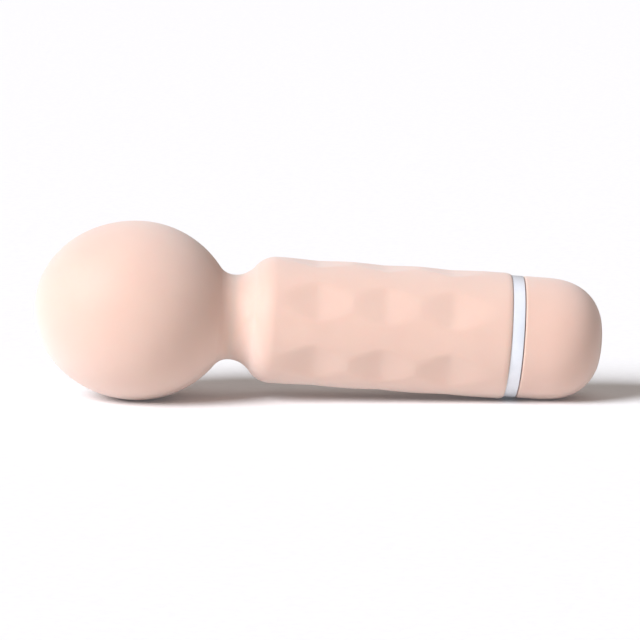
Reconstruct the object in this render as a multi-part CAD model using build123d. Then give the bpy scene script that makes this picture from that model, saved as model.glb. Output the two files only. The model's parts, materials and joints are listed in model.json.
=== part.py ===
"""Handheld wand massager: a ball head on a flexible neck, a dimpled grip, a pale band and a screw-on cap.

The wand is drawn along its own axis, which is +X here, with stations in mm from the tip of the head. It is
then laid on a flat surface, so that the ball and the cap touch it: +Z is up, the head points to -X, and the
origin is the centre of the footprint, on that surface.
"""

from build123d import *
import os
from math import asin, cos, degrees, hypot, pi, radians, sin

# ---------------------------------------------------------------- outside shape
HEAD_RADIUS = 17.0  # the ball, at its widest
HEAD_FRONT = 19.45  # from the tip to the widest ring: the nose is a little long
HEAD_REAR_ARC = 19.0  # radius of the ball's back
NECK_RADIUS = 8.05  # at the waist
NECK_REACH = 17.95  # from the widest ring to the waist
NECK_GRIP_ARC = 5.0  # radius of the neck's hollow on the grip's side
SHOULDER_REACH = 8.0  # from the waist to where the grip is full size
SKIN = 2.2  # silicone wall, from head to grip
NECK_HALF = 4.2  # half of the stretch that bends

# ---------------------------------------------------------------- battery and the tube round it
BATTERY_RADIUS = 7.25
BATTERY_LENGTH = 50.5  # with its nub
NUB_RADIUS = 2.75
NUB_LENGTH = 1.3
WRAP = 0.15  # printed wrap round the cell
WRAP_EDGE = 0.5  # bare can at each end of the wrap
CELL_PLAY = 0.45  # between cell and bore
TUBE_WALL = 2.1
FRONT_WALL = 1.6  # the tube's closed end, at the neck
CELL_TO_TUBE_END = 1.5

# ---------------------------------------------------------------- screw thread and seal
ROOT_WALL = 0.75  # tube wall under the thread
THREAD_HEIGHT = 0.55
THREAD_PITCH = 1.6
TUBE_THREAD_TURNS = 1.25
THREAD_BASE = 0.75  # width of a ridge at its foot
THREAD_TIP = 0.35
THREAD_PLAY = 0.2  # radial, at crest and root
THREAD_RUNOUT = 0.15  # plain root past the ridge
CAP_THREAD_SHORTER = 0.5  # turns that the cap's ridge lacks of the tube's
RIDGE_SINK = 0.15  # how far a ridge is let into its wall
SEAL_SECTION = 1.2  # diameter of the sealing ring's cord
SEAL_PLAY = 0.03
SEAL_LAND = 0.7  # plain wall each side of the seal
SEAL_GROOVE = 1.4
CAP_WALL = 1.34  # outside the seal groove

# ---------------------------------------------------------------- band, grip and dimples
BAND_WIDTH = 2.3
BAND_BEVEL = 0.15
SLEEVE_LIP = 2.0  # rounded end of the sleeve, next to the band
RIM_GAP = 0.15  # shadow line between band and cap
RIM_BEVEL = 0.25
DIMPLE_ROWS = 6
DIMPLES_IN_ROW = 3
DIMPLE_DEPTH = 0.7
DIMPLE_FILL = 0.96  # dimple length as a share of the pitch
DIMPLE_LEAD = 1.4  # grip left plain before the first dimple
DIMPLE_TAIL = 4.8  # and after the last
ROW_ANGLE = 28.0  # of the row that faces the user, above level

# ---------------------------------------------------------------- cap
CAP_BARREL = 3.8  # straight wall before the dome
DOME_POWER = 2.5  # 2 is an ellipse, more is squarer
RING_GAP = 0.35  # tube end to contact ring
RING_THICKNESS = 0.4
RING_WIDTH = 1.5
BOARD_THICKNESS = 1.0
BOARD_TO_BORE = 0.2  # board's edge to the cap's threaded bore
BOARD_PLAY = 0.05
BOARD_LEDGE = 0.8
SWITCH_SIDE = 6.0
SWITCH_HEIGHT = 2.75
BRACKET_THICKNESS = 0.6
BRACKET_GAP = 0.3  # switch to bracket
BRACKET_LEDGE = 1.3
BRACKET_HOLE_PLAY = 0.32  # round the plunger
POST_RADIUS = 1.2
POST_OFFSET = 6.2
SCREW_SHANK = 0.7
SCREW_HEAD = 1.15
SCREW_HEAD_HEIGHT = 0.6
SCREW_SLOT = 0.35
SCREW_LENGTH = 3.1
PLUNGER_RADIUS = 1.7
PLUNGER_PLAY = 0.08
PLUNGER_SEAT = 0.7  # hidden length in the switch
PLUNGER_RISE = 1.1  # shown length above the switch
RETURN_RING_HEIGHT = 1.2
RETURN_RING_WIDTH = 1.4
RETURN_RING_LIP = 0.35  # how far the ring stands out past the flange
BUTTON_RADIUS = 5.0
BUTTON_PLAY = 0.15
BUTTON_FLANGE = 1.3  # flange beyond the button's side
BUTTON_FLANGE_THICKNESS = 0.7
BUTTON_TRAVEL = 0.6
CROWN_FALL = 0.16  # share of the crown's height lost half-way to its edge
STOP_GAP = 0.1  # flange to end wall
END_WALL = 2.6  # from the flange's stop to the top of the dome
SPRING_WIRE = 0.5
SPRING_LARGE = 3.6
SPRING_SMALL = 2.1
SPRING_TURNS = 2.5
TOUCH_GAP = 0.05  # between parts that touch and move apart
OVER = 1.0  # how far a cutter runs past what it cuts

# ---------------------------------------------------------------- neck
SPIGOT_WALL = 1.7
SPIGOT_GAP = 3.4  # free length between the two spigots
NECK_WIRE = 0.9
NECK_COIL_PITCH = 1.06
COIL_PLAY = 0.1
COIL_TO_SKIN = 0.65  # room round the spring when the neck bends
COLLAR_FLANGE = 0.8
COLLAR_FLANGE_RADIUS = 7.0

# ---------------------------------------------------------------- head shells and motor
SHELL_WALL = 1.6
TONGUE_LENGTH = 1.45
TONGUE_WALL = 0.8
REAR_WALL = 1.17
MOTOR_RADIUS = 7.8
MOTOR_LENGTH = 14.6
MOTOR_FROM_TIP = 14.0
CAN_WALL = 0.5
CAN_FRONT = 0.6
BOSS_RADIUS = 2.9
BOSS_LENGTH = 0.8
SHAFT_RADIUS = 1.0
SHAFT_PLAY = 0.03
BUSH_RADIUS = 2.1
BUSH_LENGTH = 1.6
MAGNET_THICKNESS = 1.4
MAGNET_ARC = 130.0
MAGNET_LENGTH = 11.0
AIR_GAP = 0.3
CORE_LENGTH = 9.0
CORE_POLES = 3
POLE_NECK = 2.2
POLE_SHOE = 1.1
SLOT_DEGREES = 16.0
HUB_RADIUS = 2.3
WINDING_OVERHANG = 0.9
WINDING_THICKNESS = 1.5
COMMUTATOR_LENGTH = 1.8
COMMUTATOR_RADIUS = 2.2
COMMUTATOR_SLOT = 0.3
BELL_FLANGE = 1.4
BELL_PLUG = 1.2
BELL_BOSS_RADIUS = 2.6
BELL_BOSS_LENGTH = 0.7
BRUSH_THICKNESS = 0.25
BRUSH_WIDTH = 1.6
TAB_THICKNESS = 0.3
TAB_WIDTH = 1.6
TAB_OFFSET = 4.6
TAB_LENGTH = 1.4
CRADLE_WIDTH = 3.0
CRADLE_INSET = 1.5  # from each end of the can
WEIGHT_RADIUS = 7.2
WEIGHT_LENGTH = 5.0
WEIGHT_HUB = 2.6
WEIGHT_GAP = 0.8
SHAFT_LEAD = 0.3

# ---------------------------------------------------------------- wiring
LEAD_RADIUS = 0.35
LEAD_BEND = 0.9
LEAD_CHANNEL = 1.05  # width of the collar's channel
CONTACT_RADIUS = 4.0
CONTACT_THICKNESS = 0.3
CONTACT_PIP = 0.2
PIP_RADIUS = 1.5
STRIP_WIDTH = 3.0
STRIP_THICKNESS = 0.25
STRIP_TAB = 3.0
STRIP_TAIL_TAB = 0.4

# ---------------------------------------------------------------- radii, from the cell outwards
BORE = BATTERY_RADIUS + CELL_PLAY
THREAD_ROOT = BORE + ROOT_WALL
THREAD_CREST = THREAD_ROOT + THREAD_HEIGHT
CAP_BORE = THREAD_CREST + THREAD_PLAY
TUBE_RADIUS = BORE + TUBE_WALL
GRIP_RADIUS = TUBE_RADIUS + SKIN
GROOVE_RADIUS = THREAD_CREST + 2 * SEAL_PLAY + SEAL_SECTION
CAP_RADIUS = GROOVE_RADIUS + CAP_WALL
BOARD_RADIUS = CAP_BORE - BOARD_TO_BORE
SPIGOT_RADIUS = NECK_RADIUS - SKIN - COIL_TO_SKIN - NECK_WIRE - COIL_PLAY
SPIGOT_BORE = SPIGOT_RADIUS - SPIGOT_WALL
LEAD_OFFSET = SPIGOT_BORE / 2
THREAD_ZONE = TUBE_THREAD_TURNS * THREAD_PITCH + THREAD_BASE + THREAD_RUNOUT
CAP_THREAD_TURNS = TUBE_THREAD_TURNS - CAP_THREAD_SHORTER

# ---------------------------------------------------------------- arcs that meet smoothly
HEAD_REAR_CENTRE = HEAD_RADIUS - HEAD_REAR_ARC
WAIST_LIFT = NECK_RADIUS - HEAD_REAR_CENTRE
NECK_HEAD_ARC = (NECK_REACH**2 + WAIST_LIFT**2 - HEAD_REAR_ARC**2) / (2 * (HEAD_REAR_ARC - WAIST_LIFT))
SHOULDER_RISE = GRIP_RADIUS - NECK_RADIUS
SHOULDER_ARC = (SHOULDER_REACH**2 + SHOULDER_RISE**2) / (2 * SHOULDER_RISE) - NECK_GRIP_ARC

# ---------------------------------------------------------------- stations along the axis
EQUATOR = HEAD_FRONT
WAIST = EQUATOR + NECK_REACH
SHOULDER = WAIST + SHOULDER_REACH
REAR_CENTRE = Vector(EQUATOR, HEAD_REAR_CENTRE)
HEAD_HOLLOW_CENTRE = Vector(WAIST, NECK_RADIUS + NECK_HEAD_ARC)
GRIP_HOLLOW_CENTRE = Vector(WAIST, NECK_RADIUS + NECK_GRIP_ARC)
SHOULDER_CENTRE = Vector(SHOULDER, GRIP_RADIUS - SHOULDER_ARC)
TO_HEAD = (REAR_CENTRE - HEAD_HOLLOW_CENTRE).normalized()
TO_GRIP = (SHOULDER_CENTRE - GRIP_HOLLOW_CENTRE).normalized()
SHELL_END = (HEAD_HOLLOW_CENTRE + TO_HEAD * (NECK_HEAD_ARC + SKIN)).X
TUBE_START = (GRIP_HOLLOW_CENTRE + TO_GRIP * (NECK_GRIP_ARC + SKIN)).X
COLLAR_SEAT = TUBE_START + FRONT_WALL
CONTACT_START = COLLAR_SEAT + COLLAR_FLANGE
CELL_START = CONTACT_START + CONTACT_THICKNESS + CONTACT_PIP
CELL_END = CELL_START + BATTERY_LENGTH
TUBE_END = CELL_END + CELL_TO_TUBE_END
THREAD_START = TUBE_END - THREAD_ZONE
BAND_END = THREAD_START - 2 * SEAL_LAND - SEAL_GROOVE - RIM_GAP
SLEEVE_END = BAND_END - BAND_WIDTH
CAP_START = BAND_END + RIM_GAP
GROOVE_START = CAP_START + SEAL_LAND
SEAL_CENTRE = GROOVE_START + SEAL_GROOVE / 2
RING_START = TUBE_END + RING_GAP
BOARD_START = RING_START + RING_THICKNESS
BOARD_END = BOARD_START + BOARD_THICKNESS
SWITCH_END = BOARD_END + SWITCH_HEIGHT
BRACKET_START = SWITCH_END + BRACKET_GAP
BRACKET_END = BRACKET_START + BRACKET_THICKNESS
FLANGE_START = BRACKET_END + RETURN_RING_HEIGHT
FLANGE_END = FLANGE_START + BUTTON_FLANGE_THICKNESS
STOP = FLANGE_END + STOP_GAP
TOP = STOP + END_WALL
DOME_START = CAP_START + CAP_BARREL
DOME_LENGTH = TOP - DOME_START
CAN_END = MOTOR_FROM_TIP + MOTOR_LENGTH
CORE_START = MOTOR_FROM_TIP + CAN_FRONT + (MOTOR_LENGTH - BELL_PLUG - CAN_FRONT - CORE_LENGTH) / 2
BELL_END = CAN_END + BELL_FLANGE
DIMPLE_PITCH = (SLEEVE_END - DIMPLE_TAIL - SHOULDER - DIMPLE_LEAD) / DIMPLES_IN_ROW
CELL_CAN = BATTERY_RADIUS - WRAP


def dome_radius(station):
    """Radius of the cap's outside at a station."""
    along = max(0.0, station - DOME_START) / DOME_LENGTH
    return CAP_RADIUS * (1 - along**DOME_POWER) ** (1 / DOME_POWER)


# ---------------------------------------------------------------- how the wand lies
STEEPEST = 20.0  # degrees, more than the wand can dip
HALVINGS = 60


def dome_reach(along, across):
    """How far the dome reaches from its middle in the direction (along, across) the axis."""
    dual = DOME_POWER / (DOME_POWER - 1)
    return ((DOME_LENGTH * along) ** dual + (CAP_RADIUS * across) ** dual) ** (1 / dual)


def reach(angle):
    """How far below the tip's level the ball and the cap each reach, when the cap end dips by an angle."""
    ball = EQUATOR * sin(angle) + HEAD_REAR_CENTRE * cos(angle) + HEAD_REAR_ARC
    return ball, DOME_START * sin(angle) + dome_reach(sin(angle), cos(angle))


def lying_angle():
    """The dip at which ball and cap both touch the surface, found by halving."""
    low, high = 0.0, radians(STEEPEST)
    for _ in range(HALVINGS):
        middle = (low + high) / 2
        ball, cap = reach(middle)
        low, high = (middle, high) if cap < ball else (low, middle)
    return low


DIP = lying_angle()
LEVEL = reach(DIP)[0]
NOSE_X = EQUATOR * cos(DIP) - hypot(HEAD_FRONT * cos(DIP), HEAD_RADIUS * sin(DIP))
TAIL_X = DOME_START * cos(DIP) + dome_reach(cos(DIP), sin(DIP))
LYING = Pos(-(NOSE_X + TAIL_X) / 2, 0, LEVEL) * Rot(0, degrees(DIP), 0)


# ---------------------------------------------------------------- drawing helpers
def rod(start, end, radius):
    """A solid cylinder on the axis."""
    return Pos((start + end) / 2, 0, 0) * Rot(0, 90, 0) * Cylinder(radius, end - start)


def pipe(start, end, outer, inner):
    """A tube on the axis."""
    return rod(start, end, outer) - rod(start - OVER, end + OVER, inner)


def block(start, end, y_low, y_high, z_low, z_high):
    """A box between two stations."""
    middle = Pos((start + end) / 2, (y_low + y_high) / 2, (z_low + z_high) / 2)
    return middle * Box(end - start, y_high - y_low, z_high - z_low)


def wedge(start, end, half_angle, far):
    """A sector that opens upwards from the axis, by an angle in radians each side, out to a distance."""
    y, z = far * sin(half_angle), far * cos(half_angle)
    sector = Plane.YZ * Polygon((0, 0), (y, z), (-y, z), align=None)
    return Pos(start, 0, 0) * extrude(sector, end - start)


def turned(*edges):
    """A solid turned about the axis from a closed outline of (station, radius)."""
    return revolve(make_face(list(edges)), Axis.X)


def line_through(*points):
    """Straight edges through (station, radius) points."""
    return Polyline(*points)


def arc_about(centre, start, end, radius):
    """The short arc between two points, about a centre."""
    middle = ((start + end) / 2 - centre).normalized() * radius + centre
    return ThreePointArc(start, middle, end)


def outline(inset):
    """The wand's outline from nose to grip, set in by a wall: its edges, and its last point."""
    nose = Vector(inset, 0)
    widest = Vector(EQUATOR, HEAD_RADIUS - inset)
    behind = REAR_CENTRE - TO_HEAD * (HEAD_REAR_ARC - inset)
    waist = Vector(WAIST, NECK_RADIUS - inset)
    ahead = SHOULDER_CENTRE - TO_GRIP * (SHOULDER_ARC - inset)
    full = Vector(SHOULDER, GRIP_RADIUS - inset)
    edges = [
        EllipticalCenterArc((EQUATOR, 0), HEAD_FRONT - inset, HEAD_RADIUS - inset, 90, arc_size=90),
        arc_about(REAR_CENTRE, widest, behind, HEAD_REAR_ARC - inset),
        arc_about(HEAD_HOLLOW_CENTRE, behind, waist, NECK_HEAD_ARC + inset),
        arc_about(GRIP_HOLLOW_CENTRE, waist, ahead, NECK_GRIP_ARC + inset),
        arc_about(SHOULDER_CENTRE, ahead, full, SHOULDER_ARC - inset),
    ]
    return edges, nose, full


# ---------------------------------------------------------------- silicone skin
def whole_skin():
    """The skin from nose to band, in one, before it is divided at the neck."""
    outer, nose, outer_full = outline(0)
    inner, inner_nose, inner_full = outline(SKIN)
    lip_start = Vector(SLEEVE_END - SLEEVE_LIP, GRIP_RADIUS)
    lip_end = Vector(SLEEVE_END, CAP_RADIUS)
    return turned(
        *outer,
        Line(outer_full, lip_start),
        TangentArc(lip_start, lip_end, tangent=(1, 0)),
        line_through(lip_end, (SLEEVE_END, TUBE_RADIUS), inner_full),
        *inner,
        Line(inner_nose, nose),
    )


def dimple_cutter(station):
    """A shallow V across the grip: two flat slopes that meet in a valley."""
    valley = GRIP_RADIUS - DIMPLE_DEPTH
    half = DIMPLE_PITCH * DIMPLE_FILL / 2
    over = half + OVER
    rim = valley + over * DIMPLE_DEPTH / half
    top = rim + SKIN
    profile = Plane.XZ * Polygon(
        (station - over, rim), (station, valley), (station + over, rim),
        (station + over, top), (station - over, top), align=None,
    )
    return extrude(profile, GRIP_RADIUS, both=True)


def grip_sleeve(skin):
    sleeve = skin & rod(WAIST + NECK_HALF, SLEEVE_END, 2 * HEAD_RADIUS)
    for row in range(DIMPLE_ROWS):
        turn = Rot(90 - ROW_ANGLE + row * 360 / DIMPLE_ROWS, 0, 0)
        for place in range(DIMPLES_IN_ROW):
            station = SHOULDER + DIMPLE_LEAD + (place + 0.5) * DIMPLE_PITCH
            sleeve -= turn * dimple_cutter(station)
    return sleeve


def head_skin(skin):
    return skin & rod(-OVER, WAIST - NECK_HALF, 2 * HEAD_RADIUS)


def neck_skin(skin):
    return skin & rod(WAIST - NECK_HALF, WAIST + NECK_HALF, 2 * HEAD_RADIUS)


# ---------------------------------------------------------------- neck
def coil(radius, wire, pitch, height):
    """A round wire wound about +Z, from z = 0 up."""
    path = Helix(pitch, height, radius)
    section = Plane(origin=path @ 0, z_dir=path % 0) * Circle(wire / 2)
    return sweep(section, path, is_frenet=True)


def neck_spring():
    """Close-wound spring over both spigots: it keeps the neck straight and lets it bend."""
    start = SHELL_END + NECK_WIRE / 2 + TOUCH_GAP
    end = TUBE_START - NECK_WIRE / 2 - TOUCH_GAP
    wound = coil(SPIGOT_RADIUS + COIL_PLAY + NECK_WIRE / 2, NECK_WIRE, NECK_COIL_PITCH, end - start)
    return Pos(start, 0, 0) * Rot(0, 90, 0) * wound


def neck_collar():
    """Flanged spigot in the tube's front wall, with a channel in its flange for one lead."""
    spigot = pipe(WAIST + SPIGOT_GAP / 2, COLLAR_SEAT, SPIGOT_RADIUS, SPIGOT_BORE)
    flange = pipe(COLLAR_SEAT, CONTACT_START, COLLAR_FLANGE_RADIUS, SPIGOT_BORE)
    half = LEAD_CHANNEL / 2
    channel = block(COLLAR_SEAT, CONTACT_START + OVER, -COLLAR_FLANGE_RADIUS - OVER, 0, -half, half)
    return spigot + (flange - channel)


# ---------------------------------------------------------------- head
def cavity_radius(station):
    """Radius of the space inside the head's shells."""
    wall = SKIN + SHELL_WALL
    if station <= EQUATOR:
        along = (EQUATOR - station) / (HEAD_FRONT - wall)
        return (HEAD_RADIUS - wall) * (1 - along**2) ** 0.5
    reach_back = HEAD_REAR_ARC - wall
    return HEAD_REAR_CENTRE + (reach_back**2 - (station - EQUATOR) ** 2) ** 0.5


def head_shell_front():
    wall = SKIN + SHELL_WALL
    step = cavity_radius(EQUATOR) - TOUCH_GAP + TONGUE_WALL
    dome = turned(
        EllipticalCenterArc((EQUATOR, 0), HEAD_FRONT - SKIN, HEAD_RADIUS - SKIN, 90, arc_size=90),
        Line((SKIN, 0), (wall, 0)),
        EllipticalCenterArc((EQUATOR, 0), HEAD_FRONT - wall, HEAD_RADIUS - wall, 90, arc_size=90),
        Line((EQUATOR, HEAD_RADIUS - wall), (EQUATOR, HEAD_RADIUS - SKIN)),
    )
    return dome - rod(EQUATOR - TONGUE_LENGTH - TOUCH_GAP, EQUATOR + OVER, step)


def head_shell_rear():
    """Back of the capsule, with a tongue that snaps into the front and a spigot for the neck."""
    wall = SKIN + SHELL_WALL
    outer_end = REAR_CENTRE - TO_HEAD * (HEAD_REAR_ARC - SKIN)
    inner_end = SHELL_END - REAR_WALL
    body = turned(
        arc_about(REAR_CENTRE, Vector(EQUATOR, HEAD_RADIUS - SKIN), outer_end, HEAD_REAR_ARC - SKIN),
        line_through(outer_end, (SHELL_END, 0), (inner_end, 0), (inner_end, cavity_radius(inner_end))),
        arc_about(
            REAR_CENTRE, Vector(inner_end, cavity_radius(inner_end)), Vector(EQUATOR, HEAD_RADIUS - wall),
            HEAD_REAR_ARC - wall,
        ),
        Line((EQUATOR, HEAD_RADIUS - wall), (EQUATOR, HEAD_RADIUS - SKIN)),
    )
    tongue_outer = cavity_radius(EQUATOR) - TOUCH_GAP + TONGUE_WALL - TOUCH_GAP
    tongue = pipe(EQUATOR - TONGUE_LENGTH, EQUATOR + TOUCH_GAP, tongue_outer, tongue_outer - TONGUE_WALL)
    spigot = rod(inner_end, WAIST - SPIGOT_GAP / 2, SPIGOT_RADIUS)
    return body + tongue + spigot - rod(inner_end - OVER, WAIST, SPIGOT_BORE)


def motor_cradle(start):
    """Rubber ring that carries the motor in the capsule, as wide as the capsule lets it be."""
    end = start + CRADLE_WIDTH
    outer = min(cavity_radius(start), cavity_radius(end)) - TOUCH_GAP
    return pipe(start, end, outer, MOTOR_RADIUS)


def motor_can():
    """Deep-drawn steel can with a boss for the front bush."""
    can = rod(MOTOR_FROM_TIP, CAN_END, MOTOR_RADIUS)
    can -= rod(MOTOR_FROM_TIP + CAN_FRONT, CAN_END + OVER, MOTOR_RADIUS - CAN_WALL)
    can += rod(MOTOR_FROM_TIP - BOSS_LENGTH, MOTOR_FROM_TIP + CAN_FRONT, BOSS_RADIUS)
    return can - rod(0, CAN_END, BUSH_RADIUS)


def motor_bushes():
    front_start = MOTOR_FROM_TIP - BOSS_LENGTH
    rear_end = BELL_END + BELL_BOSS_LENGTH
    bore = SHAFT_RADIUS + SHAFT_PLAY
    front = pipe(front_start, front_start + BUSH_LENGTH, BUSH_RADIUS, bore)
    rear = pipe(rear_end - BUSH_LENGTH, rear_end, BUSH_RADIUS, bore)
    return front, rear


def magnet_inner():
    return MOTOR_RADIUS - CAN_WALL - MAGNET_THICKNESS


def motor_magnets():
    """Two curved magnets on the can's wall."""
    middle = CORE_START + CORE_LENGTH / 2
    start = middle - MAGNET_LENGTH / 2
    end = start + MAGNET_LENGTH
    ring = pipe(start, end, MOTOR_RADIUS - CAN_WALL, magnet_inner())
    upper = ring & wedge(start - OVER, end + OVER, radians(MAGNET_ARC / 2), 3 * MOTOR_RADIUS)
    return upper, Rot(180, 0, 0) * upper


def motor_end_bell():
    flange = rod(CAN_END, BELL_END, MOTOR_RADIUS)
    plug_outer = MOTOR_RADIUS - CAN_WALL
    plug = pipe(CAN_END - BELL_PLUG, CAN_END, plug_outer, plug_outer - CAN_WALL)
    boss = rod(BELL_END, BELL_END + BELL_BOSS_LENGTH, BELL_BOSS_RADIUS)
    bell = flange + plug + boss
    boss_end = BELL_END + BELL_BOSS_LENGTH
    bell -= rod(boss_end - BUSH_LENGTH, boss_end + OVER, BUSH_RADIUS)
    bell -= rod(CAN_END - OVER, BELL_END, SHAFT_RADIUS + 2 * TOUCH_GAP)
    for tab in motor_terminals():
        bell -= tab
    return bell


def motor_terminals():
    """Two flat tabs through the end bell."""
    inner = TAB_OFFSET - TAB_THICKNESS / 2
    tab = block(CAN_END, BELL_END + TAB_LENGTH, inner, inner + TAB_THICKNESS, -TAB_WIDTH / 2, TAB_WIDTH / 2)
    return tab, Rot(180, 0, 0) * tab


def motor_brushes():
    """Two leaf brushes that stand on the end bell and bear on the commutator."""
    inner = COMMUTATOR_RADIUS + TOUCH_GAP
    half = BRUSH_WIDTH / 2
    leaf = block(CAN_END - COMMUTATOR_LENGTH, CAN_END, inner, inner + BRUSH_THICKNESS, -half, half)
    return leaf, Rot(180, 0, 0) * leaf


def motor_shaft():
    start = MOTOR_FROM_TIP - BOSS_LENGTH - WEIGHT_GAP - WEIGHT_LENGTH - SHAFT_LEAD
    return rod(start, BELL_END + BELL_BOSS_LENGTH, SHAFT_RADIUS)


def core_radius():
    return magnet_inner() - AIR_GAP


def armature():
    """Stack of laminations with three poles."""
    end = CORE_START + CORE_LENGTH
    core = rod(CORE_START, end, HUB_RADIUS)
    shoes = pipe(CORE_START, end, core_radius(), core_radius() - POLE_SHOE)
    half_slot = core_radius() * sin(radians(SLOT_DEGREES / 2))
    half_pole = POLE_NECK / 2
    for pole in range(CORE_POLES):
        turn = Rot(pole * 360 / CORE_POLES, 0, 0)
        core += turn * block(CORE_START, end, -half_pole, half_pole, 0, core_radius() - POLE_SHOE / 2)
        shoes -= turn * block(CORE_START - OVER, end + OVER, -half_slot, half_slot, -2 * core_radius(), 0)
    return core + shoes - rod(CORE_START - OVER, end + OVER, SHAFT_RADIUS)


def windings():
    """One coil of copper round each pole."""
    start, end = CORE_START - WINDING_OVERHANG, CORE_START + CORE_LENGTH + WINDING_OVERHANG
    low = HUB_RADIUS + TOUCH_GAP
    high = core_radius() - POLE_SHOE - TOUCH_GAP
    half = POLE_NECK / 2 + WINDING_THICKNESS
    wound = block(start, end, -half, half, low, high)
    wound -= block(CORE_START, CORE_START + CORE_LENGTH, -POLE_NECK / 2, POLE_NECK / 2, 0, high + OVER)
    share = radians(180 / CORE_POLES) - TOUCH_GAP / low
    sector = wedge(start - OVER, end + OVER, share, 3 * core_radius())
    one = wound & sector & rod(start - OVER, end + OVER, high)
    return [Rot(pole * 360 / CORE_POLES, 0, 0) * one for pole in range(CORE_POLES)]


def commutator():
    """Three copper bars round the shaft."""
    start = CAN_END - COMMUTATOR_LENGTH
    ring = pipe(start, CAN_END - TOUCH_GAP, COMMUTATOR_RADIUS, SHAFT_RADIUS)
    for slot in range(CORE_POLES):
        half = COMMUTATOR_SLOT / 2
        cut = block(start - OVER, CAN_END + OVER, -half, half, 0, 2 * COMMUTATOR_RADIUS)
        ring -= Rot(slot * 360 / CORE_POLES, 0, 0) * cut
    return list(ring.solids())


def eccentric_weight():
    """Half disc on the nose of the shaft: its swing is what makes the head shake."""
    end = MOTOR_FROM_TIP - BOSS_LENGTH - WEIGHT_GAP
    start = end - WEIGHT_LENGTH
    lower_half = block(start, end, -WEIGHT_RADIUS, WEIGHT_RADIUS, -WEIGHT_RADIUS, 0)
    half_disc = rod(start, end, WEIGHT_RADIUS) & lower_half
    return half_disc + rod(start, end, WEIGHT_HUB) - rod(start - OVER, end + OVER, SHAFT_RADIUS)


# ---------------------------------------------------------------- wiring
def lead(points):
    """One insulated wire along straight runs with rounded corners."""
    path = FilletPolyline(*points, radius=LEAD_BEND)
    section = Plane(origin=path @ 0, z_dir=path % 0) * Circle(LEAD_RADIUS)
    return sweep(section, path)


def motor_leads():
    """Two wires from the motor's tabs, through the neck, to the front contact and the return strip."""
    tab_face = TAB_OFFSET - TAB_THICKNESS / 2
    turn_in = BELL_END + BELL_BOSS_LENGTH + LEAD_RADIUS + TOUCH_GAP
    turn_out = CONTACT_START - LEAD_RADIUS
    supply = lead([(turn_in, tab_face, 0), (turn_in, LEAD_OFFSET, 0), (CONTACT_START, LEAD_OFFSET, 0)])
    back = lead([
        (turn_in, -tab_face, 0), (turn_in, -LEAD_OFFSET, 0), (turn_out, -LEAD_OFFSET, 0),
        (turn_out, -COLLAR_FLANGE_RADIUS + TOUCH_GAP, 0),
    ])
    return supply, back


def contact_plate():
    """Front contact with a pip that meets the cell's nub."""
    plate = rod(CONTACT_START, CONTACT_START + CONTACT_THICKNESS, CONTACT_RADIUS)
    return plate + rod(CONTACT_START, CELL_START, PIP_RADIUS)


def return_strip():
    """Thin strip along the bore that carries the current back from the cap, bent over at both ends."""
    outer = BORE + STRIP_THICKNESS
    half = STRIP_WIDTH / 2
    long = block(CONTACT_START, TUBE_END, -outer, -BORE, -half, half)
    front = block(CONTACT_START, CONTACT_START + STRIP_THICKNESS, -outer, -outer + STRIP_TAB, -half, half)
    tail = block(TUBE_END, TUBE_END + STRIP_THICKNESS, -outer - STRIP_TAIL_TAB, -BORE, -half, half)
    return long + front + tail


# ---------------------------------------------------------------- handle
def ridge(root, height, turns):
    """A helical thread ridge about +Z from z = 0 up. A negative height points inwards."""
    path = Helix(THREAD_PITCH, THREAD_PITCH * turns, root)
    sink = -RIDGE_SINK if height > 0 else RIDGE_SINK
    foot, tip = THREAD_BASE / 2, THREAD_TIP / 2
    shape = Polygon((sink, -foot), (height, -tip), (height, tip), (sink, foot), align=None)
    profile = Plane(origin=path @ 0, x_dir=(1, 0, 0), z_dir=path % 0) * shape
    return sweep(profile, path, is_frenet=True)


def thread_on_axis(start, root, height, turns):
    """A ridge whose first turn starts at a station."""
    return Pos(start, 0, 0) * Rot(0, 90, 0) * ridge(root, height, turns)


def battery_tube():
    """Moulded tube: closed at the neck, threaded at the cap."""
    ahead = SHOULDER_CENTRE - TO_GRIP * (SHOULDER_ARC - SKIN)
    full = Vector(SHOULDER, TUBE_RADIUS)
    body = turned(
        arc_about(SHOULDER_CENTRE, ahead, full, SHOULDER_ARC - SKIN),
        line_through(
            full, (BAND_END, TUBE_RADIUS), (BAND_END, THREAD_CREST), (THREAD_START, THREAD_CREST),
            (THREAD_START, THREAD_ROOT), (TUBE_END, THREAD_ROOT), (TUBE_END, 0), (TUBE_START, 0), ahead,
        ),
    )
    body += thread_on_axis(THREAD_START + THREAD_BASE / 2, THREAD_ROOT, THREAD_HEIGHT, TUBE_THREAD_TURNS)
    body -= rod(CONTACT_START, TUBE_END + OVER, BORE)
    body -= rod(COLLAR_SEAT, CONTACT_START + OVER, COLLAR_FLANGE_RADIUS + TOUCH_GAP)
    body -= rod(TUBE_START - OVER, COLLAR_SEAT + OVER, SPIGOT_RADIUS + TOUCH_GAP)
    half = STRIP_WIDTH / 2 + TOUCH_GAP
    return body - block(CONTACT_START, TUBE_END + OVER, -BORE - STRIP_THICKNESS, 0, -half, half)


def battery_cell():
    nub = rod(CELL_START, CELL_START + NUB_LENGTH, NUB_RADIUS)
    can = rod(CELL_START + NUB_LENGTH, CELL_END, CELL_CAN)
    return nub + can


def battery_wrap():
    return pipe(CELL_START + NUB_LENGTH + WRAP_EDGE, CELL_END - WRAP_EDGE, BATTERY_RADIUS, CELL_CAN)


def band():
    """Pearly ring between grip and cap."""
    inner, b = TUBE_RADIUS, BAND_BEVEL
    return turned(line_through(
        (SLEEVE_END, inner), (SLEEVE_END, CAP_RADIUS - b), (SLEEVE_END + b, CAP_RADIUS),
        (BAND_END - b, CAP_RADIUS), (BAND_END, CAP_RADIUS - b), (BAND_END, inner), (SLEEVE_END, inner),
    ))


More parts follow.
